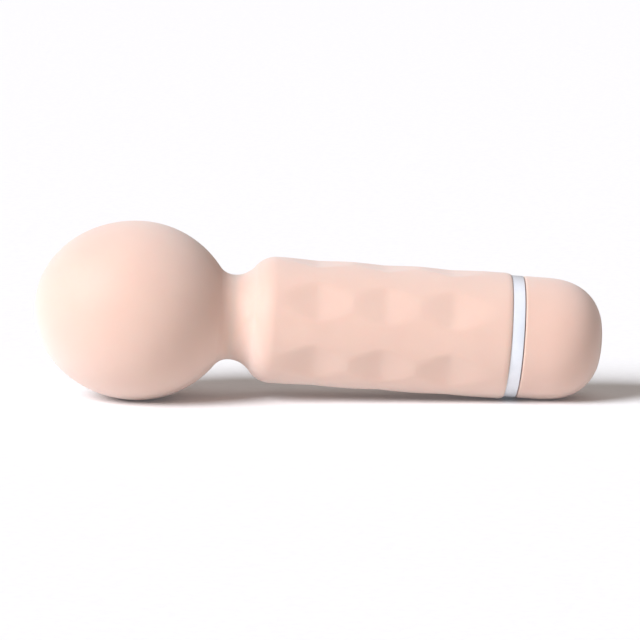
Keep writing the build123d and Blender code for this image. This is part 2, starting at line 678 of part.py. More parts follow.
# ---------------------------------------------------------------- cap
def cap_seal_ring():
    centre = THREAD_CREST + SEAL_PLAY + SEAL_SECTION / 2
    return Pos(SEAL_CENTRE, 0, 0) * Rot(0, 90, 0) * Torus(centre, SEAL_SECTION / 2)


def dome_curve(low_radius):
    """Points of the dome's formula, from the barrel up to where the dome is as narrow as a given radius."""
    points = []
    steps = 9
    last = (CAP_RADIUS**DOME_POWER - low_radius**DOME_POWER) ** (1 / DOME_POWER) / CAP_RADIUS
    for step in range(steps + 1):
        along = last * sin(pi / 2 * step / steps)
        station = DOME_START + along * DOME_LENGTH
        points.append((station, dome_radius(station)))
    return points


def cap_hole():
    return BUTTON_RADIUS + BUTTON_PLAY


def cap_cavities():
    """Radii of the cap's inside: board seat, bracket space and flange space, each inside the dome."""
    board = BOARD_RADIUS + BOARD_PLAY
    bracket = board - BOARD_LEDGE
    flange = bracket - BRACKET_LEDGE
    return board, bracket, flange


def cap_shell():
    """Domed screw cap with a hole for the button."""
    curve = dome_curve(cap_hole())
    board, bracket, flange = cap_cavities()
    top, hole = curve[-1][0], cap_hole()
    shell = turned(
        Spline(*curve, tangents=[(1, 0), dome_slope(hole)]),
        line_through(
            curve[-1], (STOP, hole), (STOP, flange), (BRACKET_END, flange), (BRACKET_END, bracket),
            (BOARD_END, bracket), (BOARD_END, board), (RING_START - THREAD_PLAY, board),
            (RING_START - THREAD_PLAY, CAP_BORE), (GROOVE_START + SEAL_GROOVE, CAP_BORE),
            (GROOVE_START + SEAL_GROOVE, GROOVE_RADIUS), (GROOVE_START, GROOVE_RADIUS),
            (GROOVE_START, CAP_BORE), (CAP_START, CAP_BORE), (CAP_START, CAP_RADIUS - RIM_BEVEL),
            (CAP_START + RIM_BEVEL, CAP_RADIUS), (DOME_START, CAP_RADIUS),
        ),
    )
    start = THREAD_START + THREAD_BASE / 2 + THREAD_PITCH / 2
    return shell + thread_on_axis(start, CAP_BORE, -THREAD_HEIGHT, CAP_THREAD_TURNS)


def dome_slope(radius):
    """Direction of the dome's outline at a radius, towards its top."""
    across = (radius / CAP_RADIUS) ** (DOME_POWER - 1) / CAP_RADIUS
    share = (1 - (radius / CAP_RADIUS) ** DOME_POWER) ** (1 / DOME_POWER)
    along = share ** (DOME_POWER - 1) / DOME_LENGTH
    return Vector(across, -along).normalized()


def contact_ring():
    outer = BOARD_RADIUS
    return pipe(RING_START, BOARD_START, outer, outer - RING_WIDTH)


def switch_board():
    board = rod(BOARD_START, BOARD_END, BOARD_RADIUS)
    for side in (1, -1):
        board -= Pos(0, 0, side * POST_OFFSET) * rod(BOARD_START - OVER, BOARD_END + OVER, SCREW_SHANK)
    return board


def board_screws():
    screw = rod(BOARD_START - SCREW_HEAD_HEIGHT, BOARD_START, SCREW_HEAD)
    half, deep = SCREW_SLOT / 2, BOARD_START - SCREW_HEAD_HEIGHT / 2
    slot = block(deep - SCREW_HEAD_HEIGHT - OVER, deep, -SCREW_HEAD, SCREW_HEAD, -half, half)
    screw = screw - slot + rod(BOARD_START, BOARD_START + SCREW_LENGTH, SCREW_SHANK)
    return [Pos(0, 0, side * POST_OFFSET) * screw for side in (1, -1)]


def tact_switch():
    half = SWITCH_SIDE / 2
    body = block(BOARD_END, SWITCH_END, -half, half, -half, half)
    deep = SWITCH_END - PLUNGER_SEAT - BUTTON_TRAVEL - 2 * TOUCH_GAP
    return body - rod(deep, SWITCH_END + OVER, PLUNGER_RADIUS + PLUNGER_PLAY)


def switch_plunger():
    return rod(SWITCH_END - PLUNGER_SEAT, SWITCH_END + PLUNGER_RISE, PLUNGER_RADIUS)


def switch_bracket():
    """Disc behind the button, with two posts that the board is screwed to."""
    radius = cap_cavities()[1] - BOARD_PLAY
    bracket = rod(BRACKET_START, BRACKET_END, radius)
    bracket -= rod(BRACKET_START - OVER, BRACKET_END + OVER, PLUNGER_RADIUS + BRACKET_HOLE_PLAY)
    for side in (1, -1):
        centre = Pos(0, 0, side * POST_OFFSET)
        bracket += centre * rod(BOARD_END, BRACKET_END, POST_RADIUS)
        bracket -= centre * rod(BOARD_END - OVER, BOARD_START + SCREW_LENGTH, SCREW_SHANK)
    return bracket


def battery_spring():
    """Cone spring on the board that pushes the cell forward."""
    start = CELL_END + TOUCH_GAP + SPRING_WIRE / 2
    height = BOARD_START - SPRING_WIRE / 2 - start
    cone = degrees(asin((SPRING_LARGE - SPRING_SMALL) / hypot(height, SPRING_LARGE - SPRING_SMALL)))
    path = Helix(height / SPRING_TURNS, height, SPRING_SMALL, cone_angle=cone)
    section = Plane(origin=path @ 0, z_dir=path % 0) * Circle(SPRING_WIRE / 2)
    return Pos(start, 0, 0) * Rot(0, 90, 0) * sweep(section, path, is_frenet=True)


def flange_radius():
    """The button's flange, as wide as it is meant to be or as its cavity lets it be."""
    return min(BUTTON_RADIUS + BUTTON_FLANGE, cap_cavities()[2] - BUTTON_PLAY)


def return_ring():
    """Soft ring under the button's flange that pushes it back out."""
    outer = min(flange_radius() + RETURN_RING_LIP, cap_cavities()[2] - 2 * BUTTON_PLAY)
    return pipe(BRACKET_END, FLANGE_START, outer, outer - RETURN_RING_WIDTH)


def button():
    """Domed push-button, flush with the cap, with a flange inside and a stem on the switch."""
    edge = Vector(*dome_curve(BUTTON_RADIUS)[-1])
    half_way = (TOP - (TOP - edge.X) * CROWN_FALL, BUTTON_RADIUS / 2)
    crown = Spline(edge, half_way, (TOP, 0), tangents=[dome_slope(BUTTON_RADIUS), (0, -1)])
    cap = turned(crown, line_through((TOP, 0), (FLANGE_END, 0), (FLANGE_END, BUTTON_RADIUS), edge))
    stem = rod(SWITCH_END + PLUNGER_RISE, FLANGE_START, PLUNGER_RADIUS)
    return cap + rod(FLANGE_START, FLANGE_END, flange_radius()) + stem


# ---------------------------------------------------------------- the whole wand
def wand():
    """Every node's solids, on the wand's own axis."""
    skin = whole_skin()
    first_cradle = MOTOR_FROM_TIP + CRADLE_INSET
    last_cradle = CAN_END - CRADLE_INSET - CRADLE_WIDTH
    return {
        "head_skin": head_skin(skin),
        "neck_skin": neck_skin(skin),
        "grip_sleeve": grip_sleeve(skin),
        "head_shell_front": head_shell_front(),
        "head_shell_rear": head_shell_rear(),
        "motor_cradle_front": motor_cradle(first_cradle),
        "motor_cradle_rear": motor_cradle(last_cradle),
        "motor_can": motor_can(),
        "motor_bushes": motor_bushes(),
        "motor_magnets": motor_magnets(),
        "motor_end_bell": motor_end_bell(),
        "motor_terminals": motor_terminals(),
        "motor_brushes": motor_brushes(),
        "motor_shaft": motor_shaft(),
        "armature": armature(),
        "windings": windings(),
        "commutator": commutator(),
        "eccentric_weight": eccentric_weight(),
        "neck_spring": neck_spring(),
        "motor_leads": motor_leads(),
        "neck_collar": neck_collar(),
        "battery_tube": battery_tube(),
        "contact_plate": contact_plate(),
        "return_strip": return_strip(),
        "battery_cell": battery_cell(),
        "battery_wrap": battery_wrap(),
        "band": band(),
        "cap_seal_ring": cap_seal_ring(),
        "cap_shell": cap_shell(),
        "contact_ring": contact_ring(),
        "switch_board": switch_board(),
        "board_screws": board_screws(),
        "tact_switch": tact_switch(),
        "switch_bracket": switch_bracket(),
        "battery_spring": battery_spring(),
        "return_ring": return_ring(),
        "switch_plunger": switch_plunger(),
        "button": button(),
    }


def main():
    os.makedirs("parts", exist_ok=True)
    for name, shape in wand().items():
        pieces = list(shape) if isinstance(shape, (list, tuple)) else shape.solids()
        solids = [solid for piece in pieces for solid in (LYING * piece).solids()]
        node = solids[0] if len(solids) == 1 else Compound(children=solids)
        export_step(node, f"parts/{name}.step")


if __name__ == "__main__":
    main()
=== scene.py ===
import json
import math

import bpy
import numpy as np
from mathutils import Matrix, Vector


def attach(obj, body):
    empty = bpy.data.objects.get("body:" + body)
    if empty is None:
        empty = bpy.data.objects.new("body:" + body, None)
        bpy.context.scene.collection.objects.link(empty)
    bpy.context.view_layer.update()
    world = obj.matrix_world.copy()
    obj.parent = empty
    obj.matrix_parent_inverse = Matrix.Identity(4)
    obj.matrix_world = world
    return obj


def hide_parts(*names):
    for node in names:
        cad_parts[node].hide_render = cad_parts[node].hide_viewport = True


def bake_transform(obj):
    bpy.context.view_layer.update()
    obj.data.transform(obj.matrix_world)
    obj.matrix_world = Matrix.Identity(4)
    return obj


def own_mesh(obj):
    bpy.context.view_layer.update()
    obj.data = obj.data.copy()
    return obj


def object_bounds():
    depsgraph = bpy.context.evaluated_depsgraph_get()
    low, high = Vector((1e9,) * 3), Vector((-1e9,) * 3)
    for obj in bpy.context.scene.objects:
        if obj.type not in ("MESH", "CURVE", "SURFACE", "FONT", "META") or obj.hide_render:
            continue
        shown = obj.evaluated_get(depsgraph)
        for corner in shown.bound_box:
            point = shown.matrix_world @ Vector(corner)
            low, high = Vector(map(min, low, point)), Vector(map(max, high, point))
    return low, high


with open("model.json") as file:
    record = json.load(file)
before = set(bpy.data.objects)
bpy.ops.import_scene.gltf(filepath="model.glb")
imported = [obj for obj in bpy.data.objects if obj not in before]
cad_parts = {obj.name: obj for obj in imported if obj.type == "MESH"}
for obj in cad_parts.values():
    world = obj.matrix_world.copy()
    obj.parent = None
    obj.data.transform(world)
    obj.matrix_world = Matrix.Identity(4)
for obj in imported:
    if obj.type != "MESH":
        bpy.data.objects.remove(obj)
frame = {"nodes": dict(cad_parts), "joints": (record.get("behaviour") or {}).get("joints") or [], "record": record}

cad_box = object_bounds()

# The wand is worked out along its own axis: stations in mm from the tip of the head, radii in mm, and angles
# round the axis in degrees, with 0 at its left side (+Y) and 90 on top. The frame says where the axis lies
# and where each part starts and ends, and the sizes below give the form of what lies between.

MM = 0.001
HEAD_FRONT = 19.45      # tip to the widest ring
HEAD_REAR_ARC = 19.0    # radius of the ball's back
NECK_RADIUS = 8.05      # at the waist
NECK_REACH = 17.95      # widest ring to waist
NECK_GRIP_ARC = 5.0     # hollow of the neck on the grip's side
SHOULDER_REACH = 8.0    # waist to full grip
SKIN = 2.2              # silicone wall
SLEEVE_LIP = 1.3        # rounded end of the grip, beside the band
DIMPLE_DEPTH = 0.7
DIMPLE_FILL = 0.96      # dimple length as a share of the pitch
DIMPLE_LEAD = 1.4       # plain grip before the first dimple
DIMPLE_TAIL = 4.8       # and after the last
DIMPLE_ROWS = 6
DIMPLES_IN_ROW = 3
FIRST_ROW = 152.0       # angle of the row that faces the user
DIMPLE_VALLEY = 0.9     # half-width of the rounded valley
DIMPLE_EDGE = 0.2       # how far the dimple's rim is rounded, in depth
BAND_ROUND = 0.16
DOME_POWER = 2.5        # the cap's end: 2 is an ellipse, more is squarer
CAP_BARREL = 3.8        # straight wall of the cap
CAP_RIM_ROUND = 0.3
HOLE_ROUND = 0.2
BUTTON_RADIUS = 5.0
BUTTON_PLAY = 0.15
RETURN_RING_ROOM = 0.3  # round the soft ring behind the button
BORE_STEP = 0.2         # from the switch board's edge to the cap's bore
STOP_GAP = 0.1
BUTTON_ROUND = 0.25
BUTTON_DISH_RADIUS = 3.2
BUTTON_DISH_DEPTH = 0.22
THREAD_HEIGHT = 0.55
THREAD_BASE = 0.75
THREAD_TIP = 0.35
THREAD_ZONE = 2.9       # threaded length of the tube
CAP_THREAD_TURNS = 0.75
WALL_PLAY = 0.05        # between a wall and what sits in it
NECK_WIRE = 0.9         # the neck's spring
NECK_PITCH = 1.06
LEAD_RADIUS = 0.35
LEAD_OFFSET = 1.25      # of each lead from the axis, inside the spring
LEAD_BEND = 0.9
RETURN_RING_WIDTH = 1.4
RETURN_RING_ROUND = 0.15
AROUND = 256            # points round a large turned piece
COIL_STEPS = 40         # rings to a turn of the spring
LEAD_STEPS = 48         # rings along a straight lead


# ---------------------------------------------------------------- the wand's axis, from the frame
def node_points(node):
    """Every vertex of a CAD node, in metres."""
    mesh = frame["nodes"][node].data
    points = np.zeros(len(mesh.vertices) * 3, np.float32)
    mesh.vertices.foreach_get("co", points)
    return points.reshape(-1, 3).astype(float)


def wand_axes():
    """Tip of the head, and the unit vectors along the wand, to its left and up from it."""
    spin = next(joint for joint in frame["joints"] if joint["name"] == "motor_spin")
    along = np.array(spin["axis"], float)
    along /= np.linalg.norm(along)
    left = np.array([0.0, 1.0, 0.0])
    on_axis = np.array(spin["pos_m"], float)
    nose = ((node_points("head_skin") - on_axis) @ along).min()
    return on_axis + along * nose, along, left, np.cross(along, left)


TIP, ALONG, LEFT, UP = wand_axes()


def span(node):
    """A CAD node's first and last station and its largest radius, in mm."""
    offset = (node_points(node) - TIP) / MM
    station = offset @ ALONG
    radius = np.hypot(offset @ LEFT, offset @ UP)
    return float(station.min()), float(station.max()), float(radius.max())


HEAD_RADIUS = span("head_skin")[2]
NECK_START, NECK_END, _ = span("neck_skin")
_, SLEEVE_END, GRIP_RADIUS = span("grip_sleeve")
BAND_START, BAND_END, BAND_RADIUS = span("band")
CAP_START, _, CAP_RADIUS = span("cap_shell")
BUTTON_TOP = span("button")[1]
_, TUBE_END, TUBE_RADIUS = span("battery_tube")
WAIST = HEAD_FRONT + NECK_REACH
SHOULDER = WAIST + SHOULDER_REACH
DOME_START = CAP_START + CAP_BARREL
DOME_LENGTH = BUTTON_TOP - DOME_START


# ---------------------------------------------------------------- surfaces
def make_piece(name, points, faces, sharp_degrees=35):
    """A mesh object from wand coordinates in mm, smooth but for edges sharper than an angle."""
    world = TIP + MM * (points @ np.array([ALONG, LEFT, UP]))
    mesh = bpy.data.meshes.new(name)
    mesh.from_pydata(world.tolist(), [], faces)
    mesh.update()
    mesh.shade_smooth()
    mesh.set_sharp_from_angle(angle=math.radians(sharp_degrees))
    piece = bpy.data.objects.new(name, mesh)
    bpy.context.scene.collection.objects.link(piece)
    return piece


def turned(name, outline, around, radii=None):
    """A solid of revolution from (station, radius) points, walked with the solid on the right-hand side.

    Point j of ring i stands at station s_i, at radius r_i in the direction of angle 2*pi*j/around. radii,
    where given, holds a radius for each ring and angle instead. An outline that starts and ends on the axis
    closes at two poles, and any other closes on itself, from its last ring to its first.
    """
    outline = np.asarray(outline, float)
    count = len(outline)
    poles = outline[0, 1] < 1e-9
    turn = 2 * np.pi * np.arange(around) / around
    spread = np.repeat(outline[:, 1:], around, axis=1) if radii is None else radii
    station = np.repeat(outline[:, :1], around, axis=1)
    points = np.stack([station, spread * np.cos(turn), spread * np.sin(turn)], axis=-1).reshape(-1, 3)
    ring = np.arange(count - 1 if poles else count)[:, None]
    here = np.arange(around)[None, :]
    there = (here + 1) % around
    after = (ring + 1) % count
    quads = np.stack([ring * around + here, ring * around + there, after * around + there,
                      after * around + here], axis=-1).reshape(-1, 4)
    if not poles:
        return make_piece(name, points, quads.tolist())
    first, last = around - 1, around * (count - 1)
    index = np.arange(len(points))
    index[:around] = first
    index[last:] = last
    quads = index[quads] - first
    faces = [tuple(dict.fromkeys(quad)) for quad in quads.tolist()]
    return make_piece(name, points[first:last + 1], faces)


def arc(centre, radii, start, stop, count):
    """Points of an arc or a part of an ellipse: centre + (a cos t, b sin t), for angles t in degrees."""
    t = np.radians(np.linspace(start, stop, count))
    along, across = np.broadcast_to(radii, 2)
    return np.stack([centre[0] + along * np.cos(t), centre[1] + across * np.sin(t)], axis=1)


def straight(start, stop, count):
    """Evenly spaced points of a line, without its ends."""
    share = np.linspace(0, 1, count + 2)[1:-1, None]
    return np.asarray(start) * (1 - share) + np.asarray(stop) * share


def joined(*stretches):
    """Stretches of an outline, one after another, with doubled points dropped."""
    points = np.concatenate([np.atleast_2d(np.asarray(stretch, float)) for stretch in stretches])
    step = np.hypot(*np.diff(points, axis=0).T)
    return points[np.concatenate([[True], step > 1e-5])]


def wire(name, path, radius, around, side):
    """A round wire along a path of wand coordinates in mm, closed flat at both ends.

    Each ring stands square to the path, at p + radius * (u cos t + v sin t). u is what is left of side, a
    direction that the path never takes, without its share along the path, and v = path direction x u.
    """
    way = np.gradient(path, axis=0)
    way /= np.linalg.norm(way, axis=1, keepdims=True)
    u = side - way * (way @ side)[:, None]
    u /= np.linalg.norm(u, axis=1, keepdims=True)
    v = np.cross(way, u)
    turn = 2 * np.pi * np.arange(around)[:, None] / around
    points = path[:, None] + radius * (u[:, None] * np.cos(turn) + v[:, None] * np.sin(turn))
    ring = around * np.arange(len(path) - 1)[:, None]
    here = np.arange(around)[None, :]
    there = (here + 1) % around
    quads = np.stack([ring + here, ring + there, ring + around + there, ring + around + here], axis=-1)
    last = around * (len(path) - 1)
    ends = [list(range(around))[::-1], list(range(last, last + around))]
    return make_piece(name, points.reshape(-1, 3), quads.reshape(-1, 4).tolist() + ends)


# ---------------------------------------------------------------- silicone skin
REAR_CENTRE = np.array([HEAD_FRONT, HEAD_RADIUS - HEAD_REAR_ARC])
LIFT = NECK_RADIUS - REAR_CENTRE[1]
NECK_HEAD_ARC = (NECK_REACH**2 + LIFT**2 - HEAD_REAR_ARC**2) / (2 * (HEAD_REAR_ARC - LIFT))
RISE = GRIP_RADIUS - NECK_RADIUS
SHOULDER_ARC = (SHOULDER_REACH**2 + RISE**2) / (2 * RISE) - NECK_GRIP_ARC


def head_outline(inset):
    """Nose to waist: half an ellipse, the ball's rear arc and the hollow of the neck, all tangent."""
    hollow = np.array([WAIST, NECK_RADIUS + NECK_HEAD_ARC])
    lean = math.degrees(math.atan2(*(hollow - REAR_CENTRE)[::-1]))
    return joined(
        arc((HEAD_FRONT, 0), (HEAD_FRONT - inset, HEAD_RADIUS - inset), 180, 90, 72),
        arc(REAR_CENTRE, HEAD_REAR_ARC - inset, 90, lean, 44),
        arc(hollow, NECK_HEAD_ARC + inset, 180 + lean, 270, 36),
    )


def neck_outline(inset):
    """Waist to full grip: the hollow of the neck and the shoulder's arc, tangent."""
    hollow = np.array([WAIST, NECK_RADIUS + NECK_GRIP_ARC])
    shoulder = np.array([SHOULDER, GRIP_RADIUS - SHOULDER_ARC])
    lean = math.degrees(math.atan2(*(shoulder - hollow)[::-1]))
    return joined(
        arc(hollow, NECK_GRIP_ARC + inset, 270, 360 + lean, 34),
        arc(shoulder, SHOULDER_ARC - inset, 180 + lean, 90, 34),
    )


def head_piece():
    """Ball head and the head's half of the neck, as a hollow skin."""
    outline = joined(head_outline(0), head_outline(SKIN)[::-3])
    outline[-1] = (SKIN, 0)
    piece = turned("silicone_head", outline, AROUND)
    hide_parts("head_skin")
    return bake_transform(piece)


def dimpled(station, radius, angle):
    """Radius of the grip with its dimples.

    Each dimple is two flat slopes that meet in a valley across the grip. The slope's height above the axis is
    h = R - depth * (1 - |x| / half), with |x| rounded near the valley, so its radius at an angle t from the
    row's middle is h / cos t. The grip's surface is the lower of its own radius and that, with a rounded rim.
    """
    start, end = SHOULDER + DIMPLE_LEAD, SLEEVE_END - DIMPLE_TAIL
    pitch = (end - start) / DIMPLES_IN_ROW
    half = pitch * DIMPLE_FILL / 2
    place = np.clip(np.floor((station - start) / pitch), 0, DIMPLES_IN_ROW - 1)
    x = station - start - (place + 0.5) * pitch
    x = np.hypot(x, DIMPLE_VALLEY) - DIMPLE_VALLEY * 0.5
    height = GRIP_RADIUS - DIMPLE_DEPTH * (1 - x / half)
    step = 360 / DIMPLE_ROWS
    off_row = (angle - FIRST_ROW + step / 2) % step - step / 2
    slope = height[:, None] / np.cos(np.radians(off_row))
    plain = np.repeat(radius[:, None], len(angle), axis=1)
    share = np.clip(0.5 + 0.5 * (slope - plain) / DIMPLE_EDGE, 0, 1)
    return slope * (1 - share) + plain * share - DIMPLE_EDGE * share * (1 - share)


def grip_piece():
    """Grip's half of the neck, the dimpled grip and its rounded end, as a hollow sleeve."""
    around = 312
    lip = arc((SLEEVE_END - SLEEVE_LIP, BAND_RADIUS), (SLEEVE_LIP, GRIP_RADIUS - BAND_RADIUS), 90, 0, 12)
    start, end = (SHOULDER, GRIP_RADIUS), (SLEEVE_END - SLEEVE_LIP, GRIP_RADIUS)
    bore = TUBE_RADIUS + WALL_PLAY
    inner = neck_outline(SKIN - WALL_PLAY)[::-3]
    outline = joined(
        neck_outline(0), straight(start, end, 150), lip,
        (SLEEVE_END, bore), straight((SLEEVE_END, bore), (SHOULDER, bore), 4),
        inner, (WAIST, NECK_RADIUS - SKIN),
    )
    angle = 360 * np.arange(around) / around
    radii = np.repeat(outline[:, 1:], around, axis=1)
    outside = np.arange(len(outline)) < np.argmax(outline[:, 0] >= SLEEVE_END - 1e-6)
    on_grip = outside & (outline[:, 0] > SHOULDER - SHOULDER_REACH / 2)
    radii[on_grip] = dimpled(outline[on_grip, 0], outline[on_grip, 1], angle)
    piece = turned("silicone_grip", outline, around, radii)
    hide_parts("grip_sleeve", "neck_skin")
    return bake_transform(piece)


# ---------------------------------------------------------------- what bends inside the neck
def bend_half(piece, node, rear):
    """Stands for a node on one side of the waist."""
    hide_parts(node)
    if rear:
        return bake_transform(piece)
    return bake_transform(piece)


def spring_halves():
    """Close-wound spring over both spigots, in two halves that meet at the waist.

    The wire runs along a helix: station s = start + pitch * t / 2 pi, at an angle t round the axis.
    """
    first, last, outside = span("neck_spring")
    start, end = first + NECK_WIRE / 2, last - NECK_WIRE / 2
    radius = outside - NECK_WIRE / 2
    halves = []
    for name, low, high in (("neck_spring_front", start, WAIST), ("neck_spring_rear", WAIST, end)):
        turns = (high - low) / NECK_PITCH
        station = np.linspace(low, high, round(turns * COIL_STEPS))
        angle = 2 * np.pi * (station - start) / NECK_PITCH
        path = np.stack([station, radius * np.sin(angle), -radius * np.cos(angle)], axis=1)
        half = wire(name, path, NECK_WIRE / 2, 14, np.array([1.0, 0.0, 0.0]))
        halves.append(bend_half(half, "neck_spring", low == WAIST))
    return halves


def lead_path(side, corner, end):
    """A lead's path from the waist: straight to a rounded corner, then square away from the axis."""
    towards = math.copysign(1, corner - WAIST)
    centre = np.array([corner - towards * LEAD_BEND, LEAD_OFFSET + LEAD_BEND])
    bend = arc(centre, (towards * LEAD_BEND, LEAD_BEND), 270, 360, 10)
    run = joined(straight((WAIST - towards * 0.1, LEAD_OFFSET), bend[0], 40), bend, (corner, end))
    run[0, 0] = WAIST
    return np.stack([run[:, 0], side * run[:, 1], np.zeros(len(run))], axis=1)


def lead_halves():
    """The two leads, in halves that meet at the waist. Only the right one turns out at the collar."""
    points = (node_points("motor_leads") - TIP) / MM
    station, across = points @ ALONG, points @ LEFT
    turn_in, turn_out = station.min() + LEAD_RADIUS, station.max() - LEAD_RADIUS
    run = np.linspace(WAIST, station.max(), LEAD_STEPS)
    straight_on = np.stack([run, np.full(LEAD_STEPS, LEAD_OFFSET), np.zeros(LEAD_STEPS)], axis=1)
    paths = {
        "lead_left_front": lead_path(1, turn_in, across.max()),
        "lead_right_front": lead_path(-1, turn_in, across.max()),
        "lead_left_rear": straight_on,
        "lead_right_rear": lead_path(-1, turn_out, -across.min()),
    }
    square = np.array([0.0, 0.0, 1.0])
    return [bend_half(wire(name, path, LEAD_RADIUS, 20, square), "motor_leads", name.endswith("rear"))
            for name, path in paths.items()]


# ---------------------------------------------------------------- band, cap and button
def band_piece():
    """Ring with rounded edges."""
    corner = BAND_ROUND
    outline = joined(
        (BAND_START, TUBE_RADIUS + WALL_PLAY),
        arc((BAND_START + corner, BAND_RADIUS - corner), corner, 180, 90, 8),
        arc((BAND_END - corner, BAND_RADIUS - corner), corner, 90, 0, 8),
        (BAND_END, TUBE_RADIUS + WALL_PLAY),
    )
    piece = turned("pearl_band", outline, AROUND)
    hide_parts("band")
    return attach(piece, "handle")


def dome(low_radius, count):
    """Outline of the cap's end: (x / length)^p + (r / radius)^p = 1, from the barrel in to a radius."""
    last = math.acos(min(1.0, (low_radius / CAP_RADIUS) ** (DOME_POWER / 2)))
    t = np.linspace(0, last, count)
    return np.stack([DOME_START + DOME_LENGTH * np.sin(t) ** (2 / DOME_POWER),
                     CAP_RADIUS * np.cos(t) ** (2 / DOME_POWER)], axis=1)


def cap_piece():
    """Domed cap, hollow in steps that each hold one part of the switch unit."""
    hole = BUTTON_RADIUS + BUTTON_PLAY
    outside = dome(hole + HOLE_ROUND, 72)
    edge = outside[-1][0]
    flange_end = flange_stop()
    bracket, board, ring = span("switch_bracket"), span("switch_board"), span("contact_ring")
    seal_start, seal_end, seal = span("cap_seal_ring")
    flange = span("return_ring")[2] + RETURN_RING_ROOM
    bore = cap_bore()
    rim = CAP_RIM_ROUND
    outline = joined(
        (CAP_START, bore),
        arc((CAP_START + rim, CAP_RADIUS - rim), rim, 180, 90, 8),
        straight((CAP_START + rim, CAP_RADIUS), (DOME_START, CAP_RADIUS), 6), outside,
        arc((edge - HOLE_ROUND, hole + HOLE_ROUND), HOLE_ROUND, 20, -90, 8),
        (flange_end, hole), (flange_end, flange),
        (bracket[1], flange), (bracket[1], bracket[2] + WALL_PLAY),
        (board[1], bracket[2] + WALL_PLAY), (board[1], board[2] + WALL_PLAY),
        (ring[0] - BORE_STEP, board[2] + WALL_PLAY), (ring[0] - BORE_STEP, bore),
        (seal_end + STOP_GAP, bore), (seal_end + STOP_GAP, seal + WALL_PLAY),
        (seal_start - STOP_GAP, seal + WALL_PLAY), (seal_start - STOP_GAP, bore),
    )
    piece = turned("cap_body", outline, AROUND)
    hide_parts("cap_shell")
    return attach(piece, "cap")


def cap_bore():
    """Inside radius of the cap where its thread stands."""
    return span("switch_board")[2] + BORE_STEP


def flange_stop():
    """Station of the wall that the button's flange rests against."""
    points = (node_points("button") - TIP) / MM
    radius = np.hypot(points @ LEFT, points @ UP)
    return float((points @ ALONG)[radius > BUTTON_RADIUS + RETURN_RING_ROOM].max()) + STOP_GAP


def cap_thread():
    """Ridge inside the cap: a trapezium carried along a helix, one pitch to a turn, closed at its ends."""
    pitch = frame["record"]["behaviour"]["couplings"][0]["ratio"] * 2 * math.pi / MM
    root = cap_bore() + WALL_PLAY
    start = TUBE_END - THREAD_ZONE + (THREAD_BASE + pitch) / 2
    turn = 2 * np.pi * np.linspace(0, CAP_THREAD_TURNS, 96)[:, None]
    across = np.array([-THREAD_BASE, THREAD_BASE, THREAD_TIP, -THREAD_TIP]) / 2
    radius = root - np.array([0, 0, THREAD_HEIGHT, THREAD_HEIGHT])
    station = start + pitch * turn / (2 * np.pi) + across
    angle = turn - np.pi / 2
    points = np.stack([station, radius * np.cos(angle), radius * np.sin(angle)], axis=-1).reshape(-1, 3)
    ring, side = np.arange(len(turn) - 1)[:, None], np.arange(4)[None, :]
    after = (side + 1) % 4
    quads = np.stack([ring * 4 + side, ring * 4 + after, ring * 4 + 4 + after, ring * 4 + 4 + side], axis=-1)
    last = 4 * (len(turn) - 1)
    ends = [[3, 2, 1, 0], [last, last + 1, last + 2, last + 3]]
    piece = make_piece("cap_thread_ridge", points, quads.reshape(-1, 4).tolist() + ends)
    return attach(piece, "cap")


def button_piece():
    """Push-button: a low crown with a shallow dish for the fingertip, its flange and its stem.

    The crown falls from its highest point as (r / radius)^2, and the dish is taken out of its middle as
    depth * (1 - (r / dish)^2)^2.
    """
    side = dome(BUTTON_RADIUS, 2)[-1][0]
    start, _, _ = span("button")
    flange_radius = span("button")[2]
    stop = flange_stop() - STOP_GAP
    ring_end = span("return_ring")[1]
    stem = span("switch_plunger")[2]
    r = np.linspace(BUTTON_RADIUS - BUTTON_ROUND, 0, 48)
    crown = BUTTON_TOP - (BUTTON_TOP - side) * (r / BUTTON_RADIUS) ** 2
    dish = BUTTON_DISH_DEPTH * np.clip(1 - (r / BUTTON_DISH_RADIUS) ** 2, 0, 1) ** 2
    edge = crown[0]
    outline = joined(
        (start, 0), (start, stem), (ring_end, stem), (ring_end, flange_radius), (stop, flange_radius),
        (stop, BUTTON_RADIUS),
        arc((edge - BUTTON_ROUND, BUTTON_RADIUS - BUTTON_ROUND), BUTTON_ROUND, 0, 78, 8),
        np.stack([crown - dish, r], axis=1),
    )
    piece = turned("button_cap", outline, 192)
    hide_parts("button")
    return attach(piece, "push_button")


def return_ring_piece():
    """Soft ring behind the button's flange."""
    start, end, outer = span("return_ring")
    inner, corner = outer - RETURN_RING_WIDTH, RETURN_RING_ROUND
    outline = joined(
        arc((start + corner, outer - corner), corner, 180, 90, 6),
        arc((end - corner, outer - corner), corner, 90, 0, 6),
        arc((end - corner, inner + corner), corner, 0, -90, 6),
        arc((start + corner, inner + corner), corner, 270, 180, 6),
    )
    piece = turned("return_ring_soft", outline, 128)
    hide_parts("return_ring")
    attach(piece, "cap")
    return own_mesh(piece)


# ---------------------------------------------------------------- materials
FLOOR_GLOW = 0.05       # lifts the card to clean white
SURROUND = 0.22
NOISE = "ShaderNodeTexNoise"
CELLS = "ShaderNodeTexVoronoi"
RAMP = "ShaderNodeValToRGB"
RANGE = "ShaderNodeMapRange"
RELIEF = "ShaderNodeBump"
SPLIT = "ShaderNodeSeparateXYZ"
MIX = "ShaderNodeMix"
MATHS = "ShaderNodeMath"
VECTORS = "ShaderNodeVectorMath"
SURFACE = "ShaderNodeBsdfPrincipled"
MIDDLE = {"From Min": 0.35, "From Max": 0.65}   # where most of a noise's values lie


